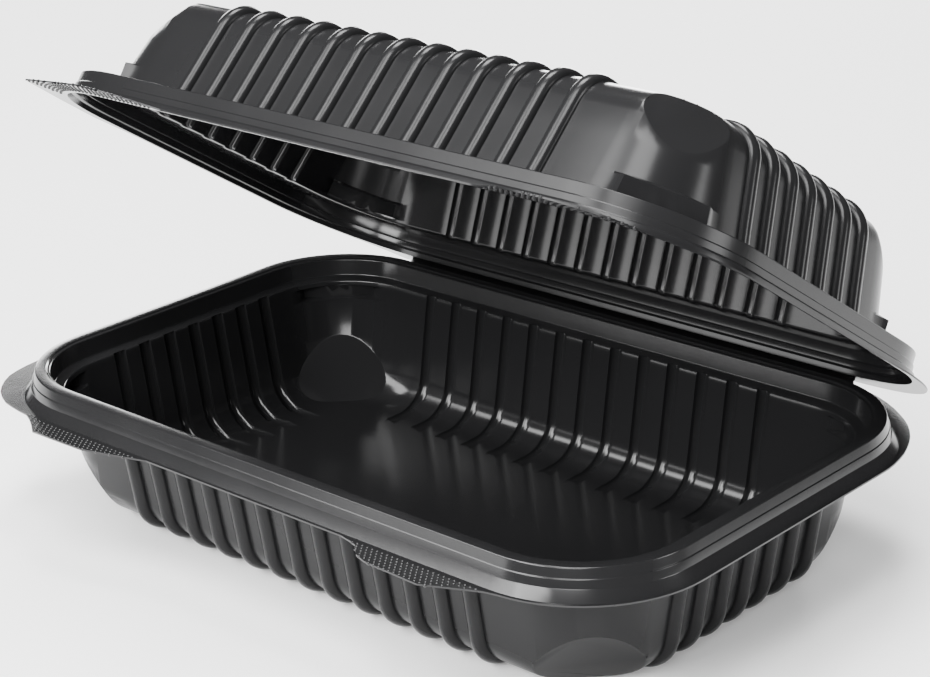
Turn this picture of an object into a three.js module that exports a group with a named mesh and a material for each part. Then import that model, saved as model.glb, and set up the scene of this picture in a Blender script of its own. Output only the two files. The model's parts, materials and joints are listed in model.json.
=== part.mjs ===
// Hinged takeaway meal container, empty, lid standing part open.
// Millimetres, +Z up, front edge towards -Y, underside of the tray floor at Z = 0.
import * as THREE from 'three';

// Rim plan, shared by both halves
const RIM_LENGTH = 215;
const RIM_WIDTH = 136;
const RIM_RADIUS = 31.3;
const HEIGHT = 41;
const SHEET = 0.6;

// Hinge fold line along the back
const HINGE_OUT = 12.2;
const HINGE_DROP = 6.9;
const FOLD_GAP = 0.15;
const OPEN_DEG = 33;

// Upright ribs
const RIB_PITCH = 9.96;
const RIB_PITCH_END = 9.3;
const RIBS_LONG = 13;
const RIBS_SHORT = 7;
const RIB_WIDTH = 4.2;
const TRAY_RIB = 1.9;
const LID_RIB = 1.7;

// Corner details
const CORNER_STEPS = 8;
const FACET_LEAN = 0.72;
const TRAY_FACET_DIAG = 19.0;
const TRAY_FACET_Z = HEIGHT - 24;
const LID_FACET_DIAG = 19.2;
const LID_FACET_Z = HEIGHT + 16.8;
const LUG_HALF = 9;
const LUG_FACE = 22.9;
const DOME_SQUEEZE = 0.985;

const PLASTIC_COLOUR = 0x1b1c1e;

// Flange reach beyond the rim edge: [position, reach]
const TRAY_FRONT = [
  [-75, 9.4], [-57, 9], [-50, 7], [-38, 3.4],
  [31, 3.4], [37, 4.6], [41, 8.4], [45, 9.8], [63, 10.6], [68, 7], [75, 4],
];
const TRAY_LEFT = [[-36.7, 7.6], [-28, 5.6], [-18, 3.4]];
const TRAY_FRONT_LEFT = [
  [0, 7.6], [15, 8.9], [30, 10.2], [45, 9.4], [55, 8], [65, 5.8], [75, 4.4], [84, 6.8], [90, 9],
];
const TRAY_BACK = [
  [0, HINGE_OUT - FOLD_GAP], [19, 9], [29, 7.6], [38, 6.8], [50, 5.6], [60, 4.6], [75, 3.7], [90, 3.4],
];
const LID_FRONT = [
  [-75, 10.4], [-66, 9.6], [-58, 6], [-52, 3.6],
  [55, 3.6], [60, 6.4], [64, 8.6], [75, 9],
];
const LID_FRONT_RIGHT = [[0, 9], [22, 7.4], [34, 4.4], [45, 3.6], [90, 3.6]];
const LID_LEFT = [[-36.7, 6.4], [-28, 4.8], [-18, 3.6]];
const LID_FRONT_LEFT = [
  [0, 6.4], [15, 6.4], [30, 8.6], [38, 11], [45, 14.4], [52, 11.9], [60, 10], [75, 8.9], [90, 10.4],
];
const LID_BACK = [
  [0, HINGE_OUT - FOLD_GAP], [19, 11.2], [29, 10.4], [38, 9.4], [50, 7.6], [60, 6], [75, 4.3], [90, 3.6],
];

const TRAY_FLANGE = {
  front: TRAY_FRONT,
  frontRight: [[0, 3.4], [90, 3.4]],
  left: TRAY_LEFT,
  frontLeft: TRAY_FRONT_LEFT,
  back: TRAY_BACK,
  plain: 3.4,
};
const LID_FLANGE = {
  front: LID_FRONT,
  frontRight: LID_FRONT_RIGHT,
  left: LID_LEFT,
  frontLeft: LID_FRONT_LEFT,
  back: LID_BACK,
  plain: 3.6,
};

const HALF_X = RIM_LENGTH / 2 - RIM_RADIUS;
const HALF_Y = RIM_WIDTH / 2 - RIM_RADIUS;

function lookup(table, value) {
  if (value <= table[0][0]) return table[0][1];
  for (let i = 1; i < table.length; i += 1) {
    const [x0, y0] = table[i - 1];
    const [x1, y1] = table[i];
    if (value <= x1) return y0 + ((y1 - y0) * (value - x0)) / (x1 - x0);
  }
  return table[table.length - 1][1];
}

// A column is a place on the perimeter: foot point, outward direction, running order and rib height.
function addCorner(columns, side, cx, cy, startDeg) {
  for (let i = 0; i <= CORNER_STEPS; i += 1) {
    const angle = startDeg + (90 * i) / CORNER_STEPS;
    const rad = THREE.MathUtils.degToRad(angle);
    columns.push({
      order: side + 0.6 + (0.4 * i) / (CORNER_STEPS + 1),
      x: cx,
      y: cy,
      ux: Math.cos(rad),
      uy: Math.sin(rad),
      rib: 0,
      corner: true,
      side,
      turn: (90 * i) / CORNER_STEPS,
    });
  }
}

function addStraight(columns, side, places) {
  const long = side % 2 === 0;
  const half = long ? HALF_X : HALF_Y;
  const forward = side < 2 ? 1 : -1;
  const sorted = [...places].sort((a, b) => (a.at - b.at) * forward);
  for (const place of sorted) {
    const along = place.at;
    columns.push({
      order: side + 0.6 * ((forward * along + half + 0.01) / (2 * half + 0.02)),
      x: long ? along : (side === 1 ? HALF_X : -HALF_X),
      y: long ? (side === 0 ? -HALF_Y : HALF_Y) : along,
      ux: long ? 0 : (side === 1 ? 1 : -1),
      uy: long ? (side === 0 ? -1 : 1) : 0,
      rib: place.rib,
      corner: false,
      side,
      turn: 0,
    });
  }
}

function perimeter(placesBySide) {
  const columns = [];
  const corners = [
    [HALF_X, -HALF_Y, -90],
    [HALF_X, HALF_Y, 0],
    [-HALF_X, HALF_Y, 90],
    [-HALF_X, -HALF_Y, 180],
  ];
  for (let side = 0; side < 4; side += 1) {
    addStraight(columns, side, placesBySide[side]);
    addCorner(columns, side, ...corners[side]);
  }
  return columns;
}

function ribPlaces(count, pitch) {
  const places = [];
  for (let k = 0; k < count; k += 1) {
    const centre = (k - (count - 1) / 2) * pitch;
    places.push({ at: centre - RIB_WIDTH / 2, rib: 0 });
    places.push({ at: centre - RIB_WIDTH * 0.22, rib: 0.9 });
    places.push({ at: centre + RIB_WIDTH * 0.22, rib: 0.9 });
    places.push({ at: centre + RIB_WIDTH / 2, rib: 0 });
  }
  return places;
}

const RIBBED = perimeter([
  ribPlaces(RIBS_LONG, RIB_PITCH),
  ribPlaces(RIBS_SHORT, RIB_PITCH_END),
  ribPlaces(RIBS_LONG, RIB_PITCH),
  ribPlaces(RIBS_SHORT, RIB_PITCH_END),
]);

function rimColumns(flange) {
  return perimeter([
    flange.front.filter(([at]) => Math.abs(at) < HALF_X - 0.4).map(([at]) => ({ at, rib: 0 })),
    [{ at: -18, rib: 0 }, { at: 18, rib: 0 }],
    [{ at: -40, rib: 0 }, { at: 40, rib: 0 }],
    flange.left
      .filter(([at]) => at > -HALF_Y + 0.4)
      .map(([at]) => ({ at, rib: 0 }))
      .concat({ at: 18, rib: 0 }),
  ]);
}

// How far the flange reaches beyond the rim at one column.
function reach(column, flange) {
  if (column.corner) {
    if (column.side === 0) return lookup(flange.frontRight, column.turn);
    if (column.side === 1) return lookup(flange.back, 90 - column.turn);
    if (column.side === 2) return lookup(flange.back, column.turn);
    return lookup(flange.frontLeft, column.turn);
  }
  if (column.side === 0) return lookup(flange.front, column.x);
  if (column.side === 2) return flange.back[0][1];
  if (column.side === 3) return lookup(flange.left, column.y);
  return flange.plain;
}

class Surface {
  constructor() {
    this.points = [];
    this.triangles = [];
  }

  add(point) {
    this.points.push(point);
    return this.points.length - 1;
  }

  ring(columns, inset, z) {
    return columns.map((column) => {
      const out = RIM_RADIUS - (typeof inset === 'function' ? inset(column) : inset);
      return this.add(new THREE.Vector3(column.x + column.ux * out, column.y + column.uy * out, z));
    });
  }

  // Joins two closed rings whose columns differ in number, by running order.
  stitch(outer, outerColumns, inner, innerColumns) {
    let i = 0;
    let j = 0;
    const n = outer.length;
    const m = inner.length;
    while (i < n || j < m) {
      const nextOuter = i < n ? outerColumns[(i + 1) % n].order + (i + 1 >= n ? 4 : 0) : Infinity;
      const nextInner = j < m ? innerColumns[(j + 1) % m].order + (j + 1 >= m ? 4 : 0) : Infinity;
      if (nextOuter <= nextInner) {
        this.triangles.push([outer[i % n], outer[(i + 1) % n], inner[j % m]]);
        i += 1;
      } else {
        this.triangles.push([outer[i % n], inner[(j + 1) % m], inner[j % m]]);
        j += 1;
      }
    }
  }

  // Joins two neighbouring chains that run from rim to floor, each vertex tagged with its way down.
  stitchChains(left, right) {
    let i = 0;
    let j = 0;
    while (i < left.length - 1 || j < right.length - 1) {
      const nextLeft = i < left.length - 1 ? left[i + 1].v : Infinity;
      const nextRight = j < right.length - 1 ? right[j + 1].v : Infinity;
      if (nextLeft <= nextRight) {
        this.triangles.push([left[i].id, right[j].id, left[i + 1].id]);
        i += 1;
      } else {
        this.triangles.push([left[i].id, right[j].id, right[j + 1].id]);
        j += 1;
      }
    }
  }

  // Closes the flat middle with a fan from its centre.
  cap(ids) {
    const centre = this.add(new THREE.Vector3(0, 0, this.points[ids[0]].z));
    for (let i = 0; i < ids.length; i += 1) {
      this.triangles.push([ids[i], ids[(i + 1) % ids.length], centre]);
    }
  }
}

// Gives an open surface a sheet thickness on the side away from its normals and closes its edge.
function solidify(surface, edge, thickness) {
  const count = surface.points.length;
  const normals = surface.points.map(() => new THREE.Vector3());
  const ab = new THREE.Vector3();
  const ac = new THREE.Vector3();
  for (const [a, b, c] of surface.triangles) {
    const [pa, pb, pc] = [surface.points[a], surface.points[b], surface.points[c]];
    const trio = [[a, pa, pb, pc], [b, pb, pc, pa], [c, pc, pa, pb]];
    for (const [id, p, q, r] of trio) {
      ab.subVectors(q, p);
      ac.subVectors(r, p);
      const angle = ab.angleTo(ac);
      normals[id].addScaledVector(ab.clone().cross(ac).normalize(), angle);
    }
  }
  const positions = [];
  for (const point of surface.points) positions.push(point.x, point.y, point.z);
  for (let i = 0; i < count; i += 1) {
    const moved = surface.points[i].clone().addScaledVector(normals[i].normalize(), -thickness);
    positions.push(moved.x, moved.y, moved.z);
  }
  const index = [];
  for (const [a, b, c] of surface.triangles) {
    index.push(a, b, c);
    index.push(a + count, c + count, b + count);
  }
  for (let i = 0; i < edge.length; i += 1) {
    const a = edge[i];
    const b = edge[(i + 1) % edge.length];
    index.push(b, a, a + count);
    index.push(b, a + count, b + count);
  }
  const geometry = new THREE.BufferGeometry();
  geometry.setAttribute('position', new THREE.Float32BufferAttribute(positions, 3));
  geometry.setIndex(index);
  return geometry;
}

// One vertex of the ribbed wall: profile point pushed out along its own normal, then cut by the corner facet.
function wallPoint(column, station, facet) {
  let out = RIM_RADIUS - station.inset;
  let z = station.z;
  out += column.rib * station.rib * station.nu;
  z += column.rib * station.rib * station.nz;
  const x = (column.x + column.ux * out) * facet.squeeze;
  const point = new THREE.Vector3(x, column.y + column.uy * out, z);
  if (!column.corner) return point;
  const dx = Math.abs(point.x) - HALF_X;
  const dy = Math.abs(point.y) - HALF_Y;
  const diag = (dx + dy) * Math.SQRT1_2;
  const past = facet.down ? facet.z - point.z : point.z - facet.z;
  const allowed = facet.diag - FACET_LEAN * past;
  if (!station.lug && diag > allowed && past > -4) {
    const push = (diag - allowed) * Math.SQRT1_2;
    point.x -= Math.sign(point.x) * push;
    point.y -= Math.sign(point.y) * push;
  }
  if (station.lug) {
    const lateral = Math.abs(dx - dy) * Math.SQRT1_2;
    const grow = lateral < LUG_HALF ? (LUG_FACE - diag) * Math.SQRT1_2 : 0;
    point.x += Math.sign(point.x) * grow;
    point.y += Math.sign(point.y) * grow;
  }
  return point;
}

function ribbedWall(surface, stations, facet) {
  const chains = RIBBED.map((column) => {
    const lateral = column.corner ? column.turn > 1 && column.turn < 89 : false;
    const used = stations.filter((station) => !station.cornerOnly || lateral);
    return used.map((station) => {
      return { id: surface.add(wallPoint(column, station, facet)), v: station.v };
    });
  });
  for (let i = 0; i < chains.length; i += 1) {
    surface.stitchChains(chains[i], chains[(i + 1) % chains.length]);
  }
  return chains;
}

function halfShell(rim, columns, edgeReach, stations, facet) {
  const surface = new Surface();
  const rings = rim.map((step, k) => {
    const inset = k === 0 ? (column) => -edgeReach(column) : step[0];
    return surface.ring(columns, inset, step[1]);
  });
  for (let k = 0; k + 1 < rings.length; k += 1) {
    surface.stitch(rings[k], columns, rings[k + 1], columns);
  }
  const chains = ribbedWall(surface, stations, facet);
  const top = chains.map((chain) => chain[0].id);
  surface.stitch(rings[rings.length - 1], columns, top, RIBBED);
  surface.cap(chains.map((chain) => chain[chain.length - 1].id));
  return { surface, edge: rings[0] };
}

const material = new THREE.MeshStandardMaterial({ color: PLASTIC_COLOUR, roughness: 0.3, metalness: 0 });

// Tray: upper surface from the flange edge over the sealing bead, down the ribbed wall to the floor
const trayRim = [
  [-3.4, HEIGHT - 7.4],
  [-2.6, HEIGHT - 7.1],
  [-0.4, HEIGHT - 4.4],
  [0, HEIGHT],
  [4.6, HEIGHT],
  [5.4, HEIGHT - 5.4],
];
const trayStations = [
  { v: 0, inset: 8.3, z: HEIGHT - 5.9, rib: TRAY_RIB * 0.9, nu: 1, nz: 0 },
  { v: 1, inset: 8.45, z: HEIGHT - 7, rib: TRAY_RIB, nu: 1, nz: 0, cornerOnly: true },
  { v: 2, inset: 8.6, z: HEIGHT - 7.6, rib: TRAY_RIB, nu: 1, nz: 0, cornerOnly: true, lug: true },
  { v: 3, inset: 9.2, z: HEIGHT - 10.8, rib: TRAY_RIB, nu: 1, nz: 0, cornerOnly: true, lug: true },
  { v: 4, inset: 9.3, z: HEIGHT - 11.6, rib: TRAY_RIB, nu: 1, nz: 0, cornerOnly: true },
  { v: 5, inset: 11.4, z: HEIGHT - 24, rib: TRAY_RIB, nu: 1, nz: 0, cornerOnly: true },
  { v: 6, inset: 12.8, z: HEIGHT - 31.4, rib: TRAY_RIB, nu: 0.98, nz: -0.17 },
  { v: 7, inset: 15.2, z: HEIGHT - 37.6, rib: TRAY_RIB, nu: 0.78, nz: -0.62 },
  { v: 8, inset: 22.4, z: SHEET, rib: TRAY_RIB, nu: 0, nz: 0 },
];
const trayFacet = { diag: TRAY_FACET_DIAG, z: TRAY_FACET_Z, down: true, squeeze: 1 };
const trayColumns = rimColumns(TRAY_FLANGE);
const trayHalf = halfShell(
  trayRim,
  trayColumns,
  (column) => reach(column, TRAY_FLANGE),
  trayStations,
  trayFacet,
);
const trayGeometry = solidify(trayHalf.surface, trayHalf.edge, SHEET);

// Lid: the same build seen from above, described shut and then swung open about the fold line
const lidRim = [
  [-3.6, HEIGHT - 5.9],
  [-2.8, HEIGHT - 5.7],
  [-1.4, HEIGHT - 2.8],
  [-1.2, HEIGHT + 1],
  [5.2, HEIGHT + 1],
];
const lidStations = [
  { v: 0, inset: 8.05, z: HEIGHT + 1.2, rib: LID_RIB * 0.9, nu: 1, nz: 0 },
  { v: 1, inset: 8.2, z: HEIGHT + 1.8, rib: LID_RIB, nu: 1, nz: 0, cornerOnly: true, lug: true },
  { v: 2, inset: 9, z: HEIGHT + 5.1, rib: LID_RIB, nu: 1, nz: 0, cornerOnly: true, lug: true },
  { v: 3, inset: 9.2, z: HEIGHT + 5.8, rib: LID_RIB, nu: 1, nz: 0, cornerOnly: true },
  { v: 4, inset: 11.8, z: HEIGHT + 16.8, rib: LID_RIB, nu: 1, nz: 0, cornerOnly: true },
  { v: 5, inset: 12.7, z: HEIGHT + 20.6, rib: LID_RIB, nu: 0.98, nz: 0.17 },
  { v: 6, inset: 15.3, z: HEIGHT + 26.7, rib: LID_RIB, nu: 0.7, nz: 0.71 },
  { v: 7, inset: 21.5, z: HEIGHT + 29.3, rib: LID_RIB, nu: 0, nz: 1 },
  { v: 8, inset: 28, z: HEIGHT + 29.4, rib: 0, nu: 0, nz: 1 },
];
const lidFacet = { diag: LID_FACET_DIAG, z: LID_FACET_Z, down: false, squeeze: DOME_SQUEEZE };
const lidColumns = rimColumns(LID_FLANGE);
const lidHalf = halfShell(
  lidRim,
  lidColumns,
  (column) => reach(column, LID_FLANGE),
  lidStations,
  lidFacet,
);
const lidGeometry = solidify(lidHalf.surface, lidHalf.edge, SHEET);
const hingeY = RIM_WIDTH / 2 + HINGE_OUT;
const hingeZ = HEIGHT - HINGE_DROP;
lidGeometry.translate(0, -hingeY, -hingeZ);
lidGeometry.rotateX(THREE.MathUtils.degToRad(-OPEN_DEG));
lidGeometry.translate(0, hingeY, hingeZ);

const tray = new THREE.Mesh(trayGeometry, material);
tray.name = 'tray';
const lid = new THREE.Mesh(lidGeometry, material.clone());
lid.name = 'lid';

const group = new THREE.Group();
group.name = 'takeaway_meal_container';
group.add(tray, lid);

export default group;
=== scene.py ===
# Hinged takeaway meal container of gloss black formed plastic, empty, with its lid standing part open.

import json
import math
from collections import namedtuple

import bmesh
import bpy
from bpy.props import FloatProperty, FloatVectorProperty, IntProperty, PointerProperty
from bpy.types import Operator, Panel, PropertyGroup
from mathutils import Matrix, Vector


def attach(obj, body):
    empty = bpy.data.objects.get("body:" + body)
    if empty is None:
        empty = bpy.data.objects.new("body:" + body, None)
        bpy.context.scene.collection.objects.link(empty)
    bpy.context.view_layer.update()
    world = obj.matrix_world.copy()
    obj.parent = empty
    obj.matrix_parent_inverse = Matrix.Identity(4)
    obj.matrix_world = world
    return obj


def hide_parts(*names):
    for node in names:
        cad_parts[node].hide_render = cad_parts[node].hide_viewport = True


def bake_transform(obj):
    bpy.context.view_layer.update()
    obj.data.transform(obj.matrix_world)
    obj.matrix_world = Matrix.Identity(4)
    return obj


bl_info = {
    "name": "Hinged Meal Container",
    "version": (1, 0, 0),
    "blender": (4, 5, 0),
    "location": "View3D > Sidebar > Container",
    "description": "Models a ribbed meal container with a domed lid on a folded hinge",
    "category": "Object",
}

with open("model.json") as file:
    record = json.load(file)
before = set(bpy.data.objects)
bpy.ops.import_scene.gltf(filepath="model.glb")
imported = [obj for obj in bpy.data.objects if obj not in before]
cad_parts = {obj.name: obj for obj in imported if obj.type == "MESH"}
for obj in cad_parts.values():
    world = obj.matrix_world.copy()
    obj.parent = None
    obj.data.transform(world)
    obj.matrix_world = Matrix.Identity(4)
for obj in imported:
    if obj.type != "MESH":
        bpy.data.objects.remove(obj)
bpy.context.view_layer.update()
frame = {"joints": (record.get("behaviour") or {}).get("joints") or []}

MM = 0.001
HINGE = frame["joints"][0]
HINGE_AT = Vector(HINGE["pos_m"])
OPEN_DEG = -HINGE["range_deg"][0]
TOLERANCE = 0.02 * MM

# Flange reach beyond the rim: (place along a side in mm or turn round a corner in degrees, reach in mm)
TRAY_FLANGE = {
    "plain": 3.4,
    "front": [
        (-75, 9.4), (-57, 9), (-50, 7), (-38, 3.4),
        (31, 3.4), (37, 4.6), (41, 8.4), (45, 9.8), (63, 10.6), (68, 7), (75, 4),
    ],
    "front_right": [(0, 3.4), (90, 3.4)],
    "front_left": [
        (0, 9), (6, 6.8), (15, 4.4), (25, 5.8), (35, 8), (45, 9.4), (60, 10.2), (75, 8.9), (90, 7.6),
    ],
    "left": [(-36.7, 7.6), (-28, 5.6), (-18, 3.4)],
    "back": [(0, 12.05), (19, 9), (29, 7.6), (38, 6.8), (50, 5.6), (60, 4.6), (75, 3.7), (90, 3.4)],
    "back_left": [
        (0, 12.05), (5.6, 12.25), (11.3, 12.9), (16, 13.75),
        (22, 9.5), (29, 7.6), (38, 6.6), (50, 5.4), (60, 4.6), (75, 3.7), (90, 3.4),
    ],
}
LID_FLANGE = {
    "plain": 3.6,
    "front": [
        (-75, 10.4), (-66, 9.6), (-58, 6), (-52, 3.6),
        (55, 3.6), (60, 6.4), (64, 8.6), (75, 9),
    ],
    "front_right": [(0, 9), (22, 7.4), (34, 4.4), (45, 3.6), (90, 3.6)],
    "front_left": [
        (0, 10.4), (15, 8.9), (30, 10), (38, 11.9), (45, 14.4), (52, 11), (60, 8.6), (75, 6.4), (90, 6.4),
    ],
    "left": [(-36.7, 6.4), (-28, 4.8), (-18, 3.6)],
    "back": [(0, 12.05), (19, 11.2), (29, 10.4), (38, 9.4), (50, 7.6), (60, 6), (75, 4.3), (90, 3.6)],
    "back_left": [
        (0, 12.05), (5.6, 12.25), (11.3, 12.9), (16, 13.75),
        (22, 9), (29, 6), (38, 4.4), (50, 3.6), (90, 3.6),
    ],
}

Corner = namedtuple("Corner", "inset z radius steps")
Row = namedtuple("Row", "inset z out up")
Facet = namedtuple("Facet", "face lean level above")
Grip = namedtuple("Grip", "name first last")
Softbox = namedtuple("Softbox", "name azimuth height size share")

# Softboxes round the table: azimuth from +X and height above the table in degrees, size in metres
SOFTBOXES = [
    Softbox("back_left_high", 120, 70, 0.55, 1.8),
    Softbox("front_left_high", 240, 70, 0.55, 0.4),
    Softbox("front_high", 300, 70, 0.55, 1.24),
    Softbox("front_left_middle", 236, 46, 0.8, 2.1),
    Softbox("front_middle", 268, 31, 0.55, 1.35),
    Softbox("front_right_middle", 300, 28, 0.55, 0.85),
    Softbox("back_low", 120, 9, 0.4, 0.89),
    Softbox("back_left_low", 150, 9, 0.4, 0.47),
    Softbox("front_left_low", 240, 9, 0.4, 0.2),
    Softbox("right_low", 20, 16, 0.4, 0.4),
]


class ContainerSizes(PropertyGroup):
    """Sizes shared by the tray and the lid."""

    rim_length: FloatProperty(
        name="Rim Length", description="Length over the sealing bead", default=0.215, unit="LENGTH"
    )
    rim_width: FloatProperty(
        name="Rim Width", description="Width over the sealing bead", default=0.136, unit="LENGTH"
    )
    rim_radius: FloatProperty(
        name="Corner Radius", description="Plan radius of the bead's corners", default=0.0313, unit="LENGTH"
    )
    rim_height: FloatProperty(
        name="Rim Height", description="Height of the bead's top", default=0.041, unit="LENGTH"
    )
    sheet: FloatProperty(
        name="Sheet", description="Thickness of the formed sheet", default=0.00045, unit="LENGTH"
    )
    ribs_long: IntProperty(name="Long Side Ribs", description="Ribs on each long side", default=13)
    ribs_short: IntProperty(name="Short Side Ribs", description="Ribs on each short side", default=7)
    pitch_long: FloatProperty(
        name="Long Pitch", description="Rib spacing on the long sides", default=0.00996, unit="LENGTH"
    )
    pitch_short: FloatProperty(
        name="Short Pitch", description="Rib spacing on the short sides", default=0.0093, unit="LENGTH"
    )
    rib_width: FloatProperty(
        name="Rib Width", description="Width of one rib", default=0.0042, unit="LENGTH"
    )
    tray_rib: FloatProperty(
        name="Tray Rib Depth", description="Depth of a rib in the tray wall", default=0.0019, unit="LENGTH"
    )
    lid_rib: FloatProperty(
        name="Lid Rib Depth", description="Depth of a rib in the lid wall", default=0.0017, unit="LENGTH"
    )
    foot_rib: FloatProperty(
        name="Foot Depth", description="Depth of a rib's end on the floor", default=0.001, unit="LENGTH"
    )


class PlasticFinish(PropertyGroup):
    """Finish of the black plastic."""

    colour: FloatVectorProperty(
        name="Colour", description="Base colour", subtype="COLOR", size=3, default=(0.011, 0.011, 0.0115)
    )
    inner_roughness: FloatProperty(
        name="Inner Roughness", description="Middle roughness of the inner side", default=0.17
    )
    outer_roughness: FloatProperty(
        name="Outer Roughness", description="Middle roughness of the side formed on the mould", default=0.22
    )
    cloudiness: FloatProperty(name="Cloudiness", description="How far the roughness varies", default=0.05)
    inner_sheen: FloatProperty(name="Inner Sheen", description="Specular level inside", default=0.4)
    lid_sheen: FloatProperty(name="Lid Sheen", description="Specular level outside the lid", default=0.21)
    # Painted shade: the tray's outer side gets a lower specular level than the lid's, which darkens the
    # tray's outer walls in place of shade from the floor they face.
    tray_shade_sheen: FloatProperty(name="Tray Sheen", description="Specular level outside the tray", default=0.13)


class StudioSet(PropertyGroup):
    """Floor, light and camera."""

    floor_colour: FloatVectorProperty(
        name="Floor", description="Floor colour", subtype="COLOR", size=3, default=(0.9, 0.9, 0.9)
    )
    floor_glow: FloatProperty(name="Floor Glow", description="Light given off by the lit floor", default=0.15)
    surround: FloatProperty(name="Surround", description="Brightness of the white room", default=0.08)
    light_power: FloatProperty(name="Light Power", description="Power of a softbox in watts", default=14.5)
    light_distance: FloatProperty(
        name="Light Distance", description="From the container to each softbox", default=1.4, unit="LENGTH"
    )
    lens: FloatProperty(name="Lens", description="Focal length in millimetres", default=90.85)


# Selection and edit helpers

def deselect_all():
    bpy.ops.object.select_all(action="DESELECT")


def select_only(obj):
    deselect_all()
    bpy.context.view_layer.objects.active = obj
    obj.select_set(True)


def edit(obj):
    select_only(obj)
    bpy.ops.object.mode_set(mode="EDIT")
    bpy.ops.mesh.select_mode(type="VERT")


def leave_edit():
    bpy.ops.object.mode_set(mode="OBJECT")


def pick(obj, test):
    """Selects the vertices whose place passes the test, and says how many there are."""
    mesh = bmesh.from_edit_mesh(obj.data)
    count = 0
    for vert in mesh.verts:
        chosen = test(vert.co)
        vert.select_set(chosen)
        count += chosen
    mesh.select_flush_mode()
    bmesh.update_edit_mesh(obj.data)
    return count


def pick_faces(obj, test):
    """Selects the faces whose centre and normal pass the test."""
    bpy.ops.mesh.select_all(action="DESELECT")
    mesh = bmesh.from_edit_mesh(obj.data)
    for face in mesh.faces:
        if test(face.calc_center_median(), face.normal):
            face.select_set(True)
    bmesh.update_edit_mesh(obj.data)


def shift(x, y, z):
    bpy.ops.transform.translate(value=(x, y, z))


def apply_modifier(obj, kind, **values):
    select_only(obj)
    modifier = obj.modifiers.new(kind.title(), kind)
    for key, value in values.items():
        setattr(modifier, key, value)
    bpy.ops.object.modifier_apply(modifier=modifier.name)


def lookup(table, value):
    """Reads a table of pairs at one value, straight between its entries."""
    if value <= table[0][0]:
        return table[0][1]
    for (x0, y0), (x1, y1) in zip(table, table[1:]):
        if value <= x1:
            return y0 + (y1 - y0) * (value - x0) / (x1 - x0)
    return table[-1][1]


# Section of a half: corners joined by straight lines and rounded by arcs

def rounded_rows(corners, side):
    """Turns a section's corners into rows, each with the direction that a rib pushes it."""
    points = []
    for i, corner in enumerate(corners):
        here = Vector((corner.inset, corner.z))
        if corner.radius == 0:
            points.append(here)
            continue
        before = (Vector(corners[i - 1][:2]) - here).normalized()
        after = (Vector(corners[i + 1][:2]) - here).normalized()
        half = before.angle(after) / 2
        reach = corner.radius / math.tan(half)
        centre = here + (before + after).normalized() * corner.radius / math.sin(half)
        start = here + before * reach - centre
        end = here + after * reach - centre
        first = math.atan2(start.y, start.x)
        turn = math.remainder(math.atan2(end.y, end.x) - first, 2 * math.pi)
        for k in range(corner.steps + 1):
            angle = first + turn * k / corner.steps
            points.append(centre + corner.radius * Vector((math.cos(angle), math.sin(angle))))
    rows = []
    for i, point in enumerate(points):
        tangent = points[min(i + 1, len(points) - 1)] - points[max(i - 1, 0)]
        tangent.normalize()
        rows.append(Row(point.x, point.y, -side * tangent.y, -side * tangent.x))
    return rows


TRAY_SECTION = [
    Corner(-2.6, -7.3, 0, 0),
    Corner(-0.6, -4.7, 0.5, 3),
    Corner(-0.08, -2.7, 0.2, 2),
    Corner(0.15, -2.5, 0.15, 2),
    Corner(0.78, 0, 0.5, 4),
    Corner(3.7, 0.1, 0.25, 2),
    Corner(4.0, -0.4, 0.2, 2),
    Corner(4.8, -0.45, 0.4, 3),
    Corner(5.4, -5.4, 0.5, 3),
    Corner(8.4, -6.0, 0.6, 3),
    Corner(8.65, -7.4, 0, 0),
    Corner(8.7, -7.7, 0, 0),
    Corner(9.25, -11.0, 0, 0),
    Corner(9.35, -11.6, 0, 0),
    Corner(11.2, -22.8, 0, 0),
    Corner(13.96, -39.5, 10, 9),
    Corner(24, -39.5, 0, 0),
    Corner(25.4, -39.5, 0, 0),
    Corner(26.6, -39.5, 0, 0),
    Corner(27.4, -39.5, 0, 0),
    Corner(27.9, -39.5, 0, 0),
    Corner(28.2, -39.5, 0, 0),
    Corner(29.2, -39.5, 0, 0),
]
LID_SECTION = [
    Corner(-2.8, -5.7, 0, 0),
    Corner(-2.5, -4.4, 0.3, 3),
    Corner(-1.75, -4.0, 0.25, 2),
    Corner(-1.65, -2.3, 0.25, 2),
    Corner(-1.3, -2.1, 0.12, 2),
    Corner(-1.15, 1.0, 0.3, 3),
    Corner(5.2, 1.0, 0, 0),
    Corner(8.05, 1.2, 0.3, 2),
    Corner(8.2, 1.9, 0, 0),
    Corner(8.25, 2.1, 0, 0),
    Corner(9.33, 6.5, 0, 0),
    Corner(9.48, 7.1, 0, 0),
    Corner(11.4, 15.3, 0, 0),
    Corner(14.8, 29.4, 9.5, 9),
    Corner(23.4, 29.4, 0, 0),
    Corner(25, 29.4, 0, 0),
    Corner(26.2, 29.4, 0, 0),
    Corner(27, 29.4, 0, 0),
    Corner(27.5, 29.4, 0, 0),
    Corner(27.8, 29.4, 0, 0),
    Corner(28.8, 29.4, 0, 0),
]

# Places across a rib, as shares of its half width
RIB_STEPS = [0, 0.28, 0.55, 0.78, 0.93, 1.0, 1.12]

# Insets where a rib starts, how far its foot reaches, where it begins to fade, and the length of its tip
TRAY_RIB_START = 8.1
LID_RIB_START = 7.7
RIB_FOOT = 0.5
RIB_FADE = 14
RIB_TIP = 4.5

# Lug on each corner: half its width, its face from the corner's centre, and the insets it spans
LUG_HALF = 11
LUG_FACE = 22.7
LUG_OFF_ROW = 0.1
TRAY_LUG_INSETS = (8.7, 9.25)
LID_LUG_INSETS = (8.25, 9.33)

# Facet across each corner: its distance from the corner's centre at one level, and how it leans
TRAY_FACET = Facet(face=19.0, lean=0.72, level=-24.0, above=False)
LID_FACET = Facet(face=19.2, lean=0.72, level=16.8, above=True)
FACET_START = 12.5
FACET_BORDER = 0.3

# The dome is a little shorter than the ledge it stands on, from this height above the bead
DOME_SQUEEZE = 0.985
DOME_FOOT = 1.1

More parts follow.
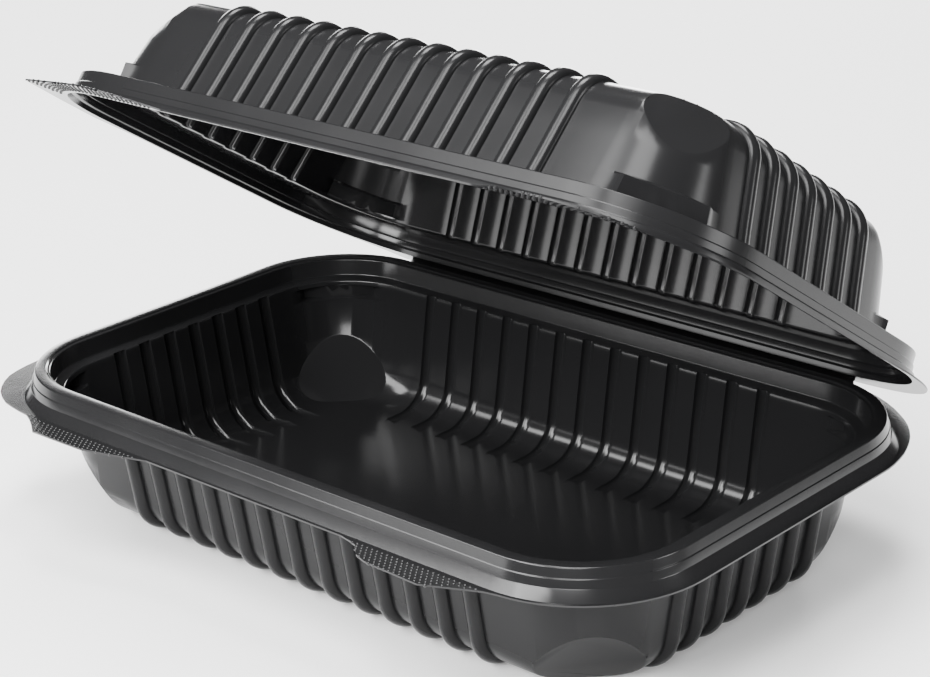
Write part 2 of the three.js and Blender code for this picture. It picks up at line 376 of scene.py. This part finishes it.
# Where the flange is plain, it reaches this far beyond the section's outer edge
FLANGE_LIP = 0.8

# Grip dots: ends of each tab along the front, in millimetres, then the size and spacing of the dots
TRAY_GRIPS = (Grip("tray_grip_left", -84, -38), Grip("tray_grip_right", 31, 76))
LID_GRIPS = (Grip("lid_grip_left", -100, -53), Grip("lid_grip_right", 56, 98))
DOT_RADIUS = 0.54
DOT_SHAPE = (1.05, 0.9, 0.85)
DOT_PITCH = 1.6
DOT_ROW = 1.1
DOT_START = 0.75
DOT_MARGIN = 0.1
TAB_WIDENING = 0.5
WIDEST_TAB = 15

# Folded strip: its ends along the back, its edges inside the flanges, and how the fold bulges out
STRIP_ENDS = (-88, 74.2)
STRIP_INSIDE = 1.2
STRIP_EDGE = 0.1
STRIP_THINNING = 0.6
BULGE_OUT = (0.42, 0.68, 0.66)
BULGE_START = 0.18
BULGE_LOW = -0.1
BULGE_HIGH = 0.35

# The photo's width in pixels, and how far the lens is shifted in the same pixels
PHOTO_WIDTH = 930
LENS_SHIFT = (-15.02, -11.68)


def sized():
    """The sizes as the panel holds them."""
    return bpy.context.scene.container_sizes


def straight_halves():
    """Half the length of the straight part of a long side and of a short side."""
    sizes = sized()
    return sizes.rim_length / 2 - sizes.rim_radius, sizes.rim_width / 2 - sizes.rim_radius


def formed_outline(name, rows):
    """Rounded rectangle, inset row by row down to the floor or up to the crown."""
    sizes = sized()
    out = -rows[0].inset * MM
    deselect_all()
    bpy.ops.mesh.primitive_plane_add(size=1, location=(0, 0, sizes.rim_height + rows[0].z * MM))
    obj = bpy.context.object
    obj.name = name
    bpy.ops.object.transform_apply(location=True, rotation=False, scale=False)
    edit(obj)
    bpy.ops.mesh.select_all(action="SELECT")
    bpy.ops.transform.resize(value=(sizes.rim_length + 2 * out, sizes.rim_width + 2 * out, 1))
    bpy.ops.mesh.bevel(
        affect="VERTICES", offset=sizes.rim_radius + out, offset_type="OFFSET", segments=16, profile=0.5
    )
    pick_faces(obj, lambda centre, normal: True)
    for here, after in zip(rows, rows[1:]):
        bpy.ops.mesh.inset(
            thickness=(after.inset - here.inset) * MM,
            depth=(after.z - here.z) * MM,
            use_even_offset=True,
        )
    return obj


def keep_quarter(obj):
    """Cuts the outline down to the quarter that the mirror repeats."""
    for normal in ((1, 0, 0), (0, 1, 0)):
        bpy.ops.mesh.select_all(action="SELECT")
        bpy.ops.mesh.bisect(plane_co=(0, 0, 0), plane_no=normal, clear_inner=True, threshold=1e-7)


def cut_facet(obj, facet):
    """Slices the corner off below or above a level with one leaning plane and fills the cut flat."""
    half_x, half_y = straight_halves()
    height = sized().rim_height
    up = -1 if facet.above else 1
    normal = Vector((math.sqrt(0.5), math.sqrt(0.5), -facet.lean * up))
    centre = Vector((half_x, half_y, height + facet.level * MM))
    place = centre + Vector((1, 1, 0)).normalized() * facet.face * MM
    edge = height - up * FACET_START * MM
    pick_faces(obj, lambda centre, n: (centre.z - edge) * up < 0)
    bpy.ops.mesh.bisect(
        plane_co=place, plane_no=normal, use_fill=True, clear_outer=True, threshold=1e-6
    )
    normal.normalize()
    pick_faces(obj, lambda centre, n: abs((centre - place).dot(normal)) < TOLERANCE)
    bpy.ops.mesh.inset(thickness=FACET_BORDER * MM, depth=0)


def push_lug(obj, rows):
    """Pushes the middle of the corner's rows out to the flat face of a lug."""
    half_x, half_y = straight_halves()
    height = sized().rim_height
    radius = sized().rim_radius
    for row in rows:
        mesh = bmesh.from_edit_mesh(obj.data)
        places = []
        for vert in mesh.verts:
            dx = vert.co.x - half_x
            dy = vert.co.y - half_y
            lateral = abs(dx - dy) * math.sqrt(0.5)
            off_row = abs(math.hypot(dx, dy) - (radius - row.inset * MM))
            if abs(vert.co.z - height - row.z * MM) > TOLERANCE or off_row > LUG_OFF_ROW * MM:
                continue
            if lateral < LUG_HALF * MM and dx > 0 and dy > 0:
                places.append(vert.co.copy())
        for place in places:
            grow = LUG_FACE * MM - (place.x - half_x + place.y - half_y) * math.sqrt(0.5)
            pick(obj, lambda co, place=place: (co - place).length < TOLERANCE)
            shift(grow * math.sqrt(0.5), grow * math.sqrt(0.5), 0)


def rib_share(inset, start, foot, end):
    """How deep a rib is at one row, as a share of its depth in the wall."""
    flat = end - RIB_TIP
    if inset < start or inset >= end:
        return 0
    fade = min(max((inset - RIB_FADE) / (flat - RIB_FADE), 0), 1)
    share = 1 + (foot - 1) * fade
    if inset > flat:
        share *= math.sqrt(max(1 - ((inset - flat) / (end - flat)) ** 2, 0))
    return share


def form_ribs(obj, rows, start, depth, foot, along, across):
    """Cuts columns through one wall and pushes each rib out as a half round."""
    sizes = sized()
    count = sizes.ribs_long if along == 0 else sizes.ribs_short
    pitch = sizes.pitch_long if along == 0 else sizes.pitch_short
    half_side = (sizes.rim_width if along == 0 else sizes.rim_length) / 2
    half = sizes.rib_width / 2
    centres = [k * pitch for k in range((count + 1) // 2)]
    normal = Vector((1, 0, 0)) if along == 0 else Vector((0, 1, 0))
    limits = straight_halves()
    reach = half_side - rows[-1].inset * MM - 0.1 * MM
    places = set()
    for centre in centres:
        for step in RIB_STEPS:
            places.add(round(centre + step * half, 7))
            places.add(round(centre - step * half, 7))
        places.add(round(centre + pitch / 2, 7))
    for place in sorted(places):
        if place <= 1e-6 or place >= limits[along]:
            continue
        pick_faces(obj, lambda co, n: co[across] > reach)
        bpy.ops.mesh.bisect(plane_co=normal * place, plane_no=normal, threshold=1e-7)
    for row in rows:
        share = rib_share(row.inset, start, foot / depth, rows[-2].inset)
        if share == 0:
            continue
        wall = half_side - row.inset * MM
        level = sizes.rim_height + row.z * MM
        for step in RIB_STEPS:
            round_off = math.sqrt(max(1 - step * step, 0))
            if round_off == 0:
                continue
            columns = [c + s * step * half for c in centres for s in (-1, 1)]

            def on_column(co):
                if abs(co.z - level) > TOLERANCE or abs(co[across] - wall) > TOLERANCE:
                    return False
                return any(abs(co[along] - column) < TOLERANCE for column in columns)

            if pick(obj, on_column):
                push = depth * share * round_off
                at_foot = row.inset < start + RIB_FOOT
                value = [0, 0, 0 if at_foot else push * row.up]
                value[across] = push if at_foot else push * row.out
                shift(*value)


def reach_at(co, table):
    """Flange reach and outward direction at one place on the rim's plan."""
    half_x, half_y = straight_halves()
    if abs(co.x) > half_x and abs(co.y) > half_y:
        outward = Vector((abs(co.x) - half_x, abs(co.y) - half_y, 0))
        turn = math.degrees(math.atan2(outward.x, outward.y))
        outward.normalize()
        outward.x = math.copysign(outward.x, co.x)
        outward.y = math.copysign(outward.y, co.y)
        if co.y > 0:
            return lookup(table["back_left" if co.x < 0 else "back"], turn), outward
        return lookup(table["front_right" if co.x > 0 else "front_left"], turn), outward
    if abs(co.y) > half_y:
        if co.y > 0:
            return table["back"][0][1], Vector((0, 1, 0))
        return lookup(table["front"], co.x / MM), Vector((0, -1, 0))
    if co.x > 0:
        return table["plain"], Vector((1, 0, 0))
    return lookup(table["left"], co.y / MM), Vector((-1, 0, 0))


def grow_flange(obj, level, table):
    """Extrudes the outer edge and draws it out to the ears, the grip tabs and the hinge flange."""
    bpy.ops.mesh.select_all(action="DESELECT")
    mesh = bmesh.from_edit_mesh(obj.data)
    for edge in mesh.edges:
        if edge.is_boundary and abs(edge.verts[0].co.z - level) < TOLERANCE:
            edge.select_set(True)
    bmesh.update_edit_mesh(obj.data)
    bpy.ops.mesh.extrude_edges_move()
    mesh = bmesh.from_edit_mesh(obj.data)
    mesh.verts.ensure_lookup_table()
    moves = {}
    for vert in mesh.verts:
        if vert.select:
            reach, outward = reach_at(vert.co, table)
            extra = round(reach - table["plain"] + FLANGE_LIP, 3)
            key = (extra, round(outward.x, 4), round(outward.y, 4))
            moves.setdefault(key, []).append(vert.index)
    for (extra, out_x, out_y), members in moves.items():
        mesh = bmesh.from_edit_mesh(obj.data)
        mesh.verts.ensure_lookup_table()
        for vert in mesh.verts:
            vert.select_set(False)
        for index in members:
            mesh.verts[index].select_set(True)
        mesh.select_flush_mode()
        bmesh.update_edit_mesh(obj.data)
        shift(out_x * extra * MM, out_y * extra * MM, 0)


def formed_half(name, section, side, start, depth, foot, facet, lug_insets, table):
    """One half of the container as a surface: a quarter with its facet, lug and ribs, then mirrored."""
    rows = rounded_rows(section, side)
    obj = formed_outline(name, rows)
    keep_quarter(obj)
    cut_facet(obj, facet)
    push_lug(obj, [row for row in rows if any(abs(row.inset - inset) < 1e-3 for inset in lug_insets)])
    form_ribs(obj, rows, start, depth, foot, 0, 1)
    form_ribs(obj, rows, start, depth, foot, 1, 0)
    leave_edit()
    apply_modifier(
        obj, "MIRROR", use_axis=(True, True, False), use_clip=True, merge_threshold=0.01 * MM
    )
    edit(obj)
    grow_flange(obj, sized().rim_height + rows[0].z * MM, table)
    leave_edit()
    return obj


def squeeze_dome(obj):
    """Makes the dome a little shorter than the ledge it stands on."""
    edit(obj)
    level = sized().rim_height + DOME_FOOT * MM
    pick(obj, lambda co: co.z > level)
    bpy.ops.transform.resize(value=(DOME_SQUEEZE, 1, 1), center_override=(0, 0, 0))
    leave_edit()


def swing_open(obj):
    """Turns a shut piece of the lid about the fold to where the photo shows it."""
    edit(obj)
    bpy.ops.mesh.select_all(action="SELECT")
    bpy.ops.transform.rotate(
        value=math.radians(OPEN_DEG), orient_axis="X", center_override=HINGE_AT
    )
    leave_edit()


def finish_shell(obj, modelled_side, far_side):
    """Thickens the sheet, with one material on the modelled side and another on the far side."""
    obj.data.materials.append(modelled_side)
    obj.data.materials.append(far_side)
    apply_modifier(
        obj, "SOLIDIFY", thickness=sized().sheet, offset=-1, use_even_offset=False, material_offset=1
    )
    select_only(obj)
    bpy.ops.object.shade_smooth_by_angle(angle=math.radians(38))


# Finish

def plastic(name, seed, roughness, sheen):
    """Black plastic; the outer side, formed on the mould, is a little rougher and duller than the inner one.
    On the tray the outer side's lower specular level is painted shade, darkening its outer walls.
    """
    finish = bpy.context.scene.container_finish
    material = bpy.data.materials.new(name)
    material.use_nodes = True
    nodes = material.node_tree.nodes
    links = material.node_tree.links
    shader = nodes["Principled BSDF"]
    shader.inputs["Base Color"].default_value = (*finish.colour, 1)
    shader.inputs["IOR"].default_value = 1.49
    shader.inputs["Specular IOR Level"].default_value = sheen
    place = nodes.new("ShaderNodeTexCoord")
    cloudy = nodes.new("ShaderNodeTexNoise")
    cloudy.noise_dimensions = "4D"
    cloudy.inputs["W"].default_value = seed
    cloudy.inputs["Scale"].default_value = 45
    cloudy.inputs["Detail"].default_value = 4
    gloss = nodes.new("ShaderNodeMapRange")
    gloss.inputs["To Min"].default_value = roughness - finish.cloudiness
    gloss.inputs["To Max"].default_value = roughness + finish.cloudiness
    links.new(place.outputs["Object"], cloudy.inputs["Vector"])
    links.new(cloudy.outputs["Fac"], gloss.inputs["Value"])
    links.new(gloss.outputs["Result"], shader.inputs["Roughness"])
    ripple = nodes.new("ShaderNodeTexNoise")
    ripple.inputs["Scale"].default_value = 260
    ripple.inputs["Detail"].default_value = 2
    bump = nodes.new("ShaderNodeBump")
    bump.inputs["Strength"].default_value = 0.06
    bump.inputs["Distance"].default_value = 0.2 * MM
    links.new(place.outputs["Object"], ripple.inputs["Vector"])
    links.new(ripple.outputs["Fac"], bump.inputs["Height"])
    links.new(bump.outputs["Normal"], shader.inputs["Normal"])
    return material


def inside(name, seed):
    """Plastic of the inner side of the sheet."""
    finish = bpy.context.scene.container_finish
    return plastic(name, seed, finish.inner_roughness, finish.inner_sheen)


def outside(name, seed, sheen):
    """Plastic of the outer side of the sheet."""
    finish = bpy.context.scene.container_finish
    return plastic(name, seed, finish.outer_roughness, sheen)


def dress(obj, body, slot, *nodes):
    """Says which body the piece rides on and the nodes it stands in for; the slot argument is not used."""
    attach(obj, body)
    if nodes:
        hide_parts(*nodes)


# Grip dots and the folded hinge

def flange_place(along, out):
    """Plan place on the front flange; past the straight side, along runs on round the corner."""
    half_x, half_y = straight_halves()
    radius = sized().rim_radius
    over = abs(along) - half_x
    if over <= 0:
        return Vector((along, -half_y - radius - out, 0))
    turn = over / radius
    side = math.copysign(1, along)
    return Vector((
        side * (half_x + math.sin(turn) * (radius + out)),
        -half_y - math.cos(turn) * (radius + out),
        0,
    ))


def grip_dots(grip, level, table):
    """One raised dot, copied in staggered rows over the widened front flange."""
    sizes = sized()
    deselect_all()
    bpy.ops.mesh.primitive_uv_sphere_add(segments=8, ring_count=5, radius=DOT_RADIUS * MM)
    dot = bpy.context.object
    edit(dot)
    bpy.ops.mesh.select_all(action="SELECT")
    bpy.ops.transform.resize(value=DOT_SHAPE)
    leave_edit()
    pitch = DOT_PITCH * MM
    count = int((grip.last - grip.first) * MM / pitch)
    nearest = (table["plain"] + DOT_START) * MM
    rows = int((WIDEST_TAB * MM - nearest) / (DOT_ROW * MM)) + 1
    copies = []
    for row in range(rows):
        out = nearest + row * DOT_ROW * MM
        for k in range(count + 1):
            along = grip.first * MM + (k + 0.5 * (row % 2)) * pitch
            place = flange_place(along, out)
            reach = reach_at(place, table)[0] * MM
            if out > reach - DOT_MARGIN * MM or reach < (table["plain"] + TAB_WIDENING) * MM:
                continue
            copy = dot.copy()
            copy.data = dot.data.copy()
            copy.location = place + Vector((0, 0, level - sizes.sheet / 2))
            bpy.context.scene.collection.objects.link(copy)
            copies.append(copy)
    bpy.data.objects.remove(dot)
    deselect_all()
    for copy in copies:
        copy.select_set(True)
    bpy.context.view_layer.objects.active = copies[0]
    bpy.ops.object.join()
    obj = bpy.context.object
    obj.name = grip.name
    bpy.ops.object.transform_apply(location=True, rotation=False, scale=False)
    bpy.ops.object.shade_smooth()
    return obj


def hinge_profile():
    """Section of the folded strip, from inside the tray flange round the fold to inside the lid flange."""
    sizes = sized()
    half_sheet = sizes.sheet / 2
    tray_level = sizes.rim_height + TRAY_SECTION[0].z * MM - half_sheet
    lid_level = sizes.rim_height + LID_SECTION[0].z * MM - half_sheet
    fold = Matrix.Rotation(math.radians(-OPEN_DEG), 3, "X")
    lid_points = []
    for inward in (STRIP_EDGE, STRIP_INSIDE):
        shut = Vector((0, -inward * MM, lid_level - HINGE_AT.z))
        lid_points.append(HINGE_AT + fold @ shut)
    start = Vector((0, HINGE_AT.y - STRIP_INSIDE * MM, tray_level))
    edge = Vector((0, HINGE_AT.y - STRIP_EDGE * MM, tray_level))
    levels = (tray_level + BULGE_START * MM, HINGE_AT.z + BULGE_LOW * MM, HINGE_AT.z + BULGE_HIGH * MM)
    bulge = [Vector((0, HINGE_AT.y + out * MM, level)) for out, level in zip(BULGE_OUT, levels)]
    return [start, edge, *bulge, *lid_points]


def folded_strip():
    """The strip, extruded edge by edge round the fold from the tray's flange to the lid's."""
    left, right = STRIP_ENDS
    length = (right - left) * MM
    points = hinge_profile()
    deselect_all()
    bpy.ops.mesh.primitive_plane_add(size=1, location=(0, 0, 0))
    obj = bpy.context.object
    obj.name = "hinge_strip"
    edit(obj)
    bpy.ops.mesh.select_all(action="SELECT")
    first = points[1] - points[0]
    bpy.ops.transform.resize(value=(length, first.y, 1))
    middle = (points[0] + points[1]) / 2
    shift((left + right) / 2 * MM, middle.y, middle.z)
    pick(obj, lambda co: co.y > middle.y)
    for here, after in zip(points[1:], points[2:]):
        bpy.ops.mesh.extrude_edges_move()
        shift(*(after - here))
    leave_edit()
    apply_modifier(obj, "SOLIDIFY", thickness=sized().sheet * STRIP_THINNING, offset=0)
    select_only(obj)
    bpy.ops.object.shade_smooth_by_angle(angle=math.radians(50))
    return obj


class CONTAINER_OT_tray(Operator):
    """Model the ribbed tray with its bead, flange and grip tabs"""

    bl_idname = "container.tray"
    bl_label = "Tray"

    def execute(self, context):
        sizes = sized()
        obj = formed_half(
            "tray_shell", TRAY_SECTION, 1, TRAY_RIB_START, sizes.tray_rib, sizes.foot_rib,
            TRAY_FACET, TRAY_LUG_INSETS, TRAY_FLANGE,
        )
        # The tray's outer side takes the lower specular level, as painted shade on its outer walls.
        sheen = context.scene.container_finish.tray_shade_sheen
        finish_shell(obj, inside("tray inside", 1.0), outside("tray outside with painted shade", 1.0, sheen))
        dress(obj, "tray", "tray_plastic", "tray")
        return {"FINISHED"}


class CONTAINER_OT_lid(Operator):
    """Model the ribbed lid shut, then swing it open about the fold"""

    bl_idname = "container.lid"
    bl_label = "Lid"

    def execute(self, context):
        sizes = sized()
        obj = formed_half(
            "lid_shell", LID_SECTION, -1, LID_RIB_START, sizes.lid_rib, sizes.lid_rib,
            LID_FACET, LID_LUG_INSETS, LID_FLANGE,
        )
        squeeze_dome(obj)
        swing_open(obj)
        sheen = context.scene.container_finish.lid_sheen
        finish_shell(obj, outside("lid outside", 2.0, sheen), inside("lid inside", 2.0))
        dress(obj, "lid", "lid_plastic", "lid")
        return {"FINISHED"}


class CONTAINER_OT_grips(Operator):
    """Model the raised dots on the grip tabs of both halves"""

    bl_idname = "container.grips"
    bl_label = "Grip Dots"

    def execute(self, context):
        sizes = sized()
        tray_level = sizes.rim_height + TRAY_SECTION[0].z * MM
        lid_level = sizes.rim_height + LID_SECTION[0].z * MM
        tray_finish = inside("tray grip plastic", 3.0)
        lid_finish = outside("lid grip plastic", 4.0, context.scene.container_finish.lid_sheen)
        for grip in TRAY_GRIPS:
            obj = grip_dots(grip, tray_level, TRAY_FLANGE)
            obj.data.materials.append(tray_finish)
            dress(obj, "tray", "tray_plastic")
        for grip in LID_GRIPS:
            obj = grip_dots(grip, lid_level, LID_FLANGE)
            swing_open(obj)
            obj.data.materials.append(lid_finish)
            dress(obj, "lid", "lid_plastic")
        return {"FINISHED"}


class CONTAINER_OT_hinge(Operator):
    """Model the folded strip that joins the lid to the tray"""

    bl_idname = "container.hinge"
    bl_label = "Folded Hinge"

    def execute(self, context):
        obj = folded_strip()
        obj.data.materials.append(inside("hinge plastic", 5.0))
        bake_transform(obj)
        return {"FINISHED"}


class CONTAINER_OT_stage(Operator):
    """Set the pale floor, the soft lights and the camera"""

    bl_idname = "container.stage"
    bl_label = "Stage"

    def execute(self, context):
        studio = context.scene.container_studio
        add_floor(studio)
        add_surround(studio)
        for softbox in SOFTBOXES:
            add_softbox(studio, softbox)
        add_camera(studio)
        return {"FINISHED"}


def add_floor(studio):
    """Pale paper under the container, lit a little from within."""
    deselect_all()
    bpy.ops.mesh.primitive_plane_add(size=8, location=(0, 0, 0))
    floor = bpy.context.object
    floor.name = "floor"
    material = bpy.data.materials.new("floor paper")
    material.use_nodes = True
    shader = material.node_tree.nodes["Principled BSDF"]
    shader.inputs["Base Color"].default_value = (*studio.floor_colour, 1)
    shader.inputs["Roughness"].default_value = 0.8
    shader.inputs["Emission Color"].default_value = (1, 1, 1, 1)
    shader.inputs["Emission Strength"].default_value = studio.floor_glow
    floor.data.materials.append(material)


def add_surround(studio):
    """Even dim light from all round."""
    world = bpy.data.worlds.new("white room")
    world.use_nodes = True
    background = world.node_tree.nodes["Background"]
    background.inputs["Color"].default_value = (1, 1, 1, 1)
    background.inputs["Strength"].default_value = studio.surround
    bpy.context.scene.world = world


def add_softbox(studio, softbox):
    """One square lamp, facing the container."""
    azimuth = math.radians(softbox.azimuth)
    height = math.radians(softbox.height)
    towards = Vector((
        math.cos(azimuth) * math.cos(height), math.sin(azimuth) * math.cos(height), math.sin(height),
    ))
    deselect_all()
    bpy.ops.object.light_add(type="AREA", location=Vector((0, 0, 0.05)) + towards * studio.light_distance)
    light = bpy.context.object
    light.name = softbox.name
    light.data.shape = "SQUARE"
    light.data.size = softbox.size
    light.data.energy = studio.light_power * softbox.share
    light.rotation_euler = (-towards).to_track_quat("-Z", "Y").to_euler()


def add_camera(studio):
    """Places the camera that was fitted to the photo, with a slight roll."""
    azimuth = math.radians(41.94)
    elevation = math.radians(20.76)
    roll = math.radians(-1.5)
    distance = 0.65696
    target = Vector((-0.02125, 0.03774, 0.041))
    back = Vector((
        math.sin(azimuth) * math.cos(elevation),
        -math.cos(azimuth) * math.cos(elevation),
        math.sin(elevation),
    ))
    right = Vector((0, 0, 1)).cross(back).normalized()
    up = back.cross(right)
    rolled_right = right * math.cos(roll) + up * math.sin(roll)
    rolled_up = up * math.cos(roll) - right * math.sin(roll)
    deselect_all()
    bpy.ops.object.camera_add()
    camera = bpy.context.object
    camera.name = "camera"
    turn = Matrix((rolled_right, rolled_up, back)).transposed().to_4x4()
    camera.matrix_world = Matrix.Translation(target + back * distance) @ turn
    camera.data.lens = studio.lens
    camera.data.sensor_width = 36
    camera.data.shift_x = LENS_SHIFT[0] / PHOTO_WIDTH
    camera.data.shift_y = LENS_SHIFT[1] / PHOTO_WIDTH
    bpy.context.scene.camera = camera


class CONTAINER_PT_panel(Panel):
    """Buttons for each piece of the container"""

    bl_label = "Meal Container"
    bl_idname = "CONTAINER_PT_panel"
    bl_space_type = "VIEW_3D"
    bl_region_type = "UI"
    bl_category = "Container"

    def draw(self, context):
        layout = self.layout
        scene = context.scene
        for group in (scene.container_sizes, scene.container_finish, scene.container_studio):
            for name in group.__annotations__:
                layout.prop(group, name)
        for operator in OPERATORS:
            layout.operator(operator.bl_idname)


OPERATORS = (
    CONTAINER_OT_tray, CONTAINER_OT_lid, CONTAINER_OT_grips, CONTAINER_OT_hinge, CONTAINER_OT_stage,
)
CLASSES = (ContainerSizes, PlasticFinish, StudioSet, *OPERATORS, CONTAINER_PT_panel)


def register():
    for cls in CLASSES:
        bpy.utils.register_class(cls)
    bpy.types.Scene.container_sizes = PointerProperty(type=ContainerSizes)
    bpy.types.Scene.container_finish = PointerProperty(type=PlasticFinish)
    bpy.types.Scene.container_studio = PointerProperty(type=StudioSet)


def unregister():
    del bpy.types.Scene.container_sizes
    del bpy.types.Scene.container_finish
    del bpy.types.Scene.container_studio
    for cls in reversed(CLASSES):
        bpy.utils.unregister_class(cls)


def main():
    register()
    bpy.ops.container.tray()
    bpy.ops.container.lid()
    bpy.ops.container.grips()
    bpy.ops.container.hinge()
    bpy.ops.container.stage()


if __name__ == "__main__":
    main()
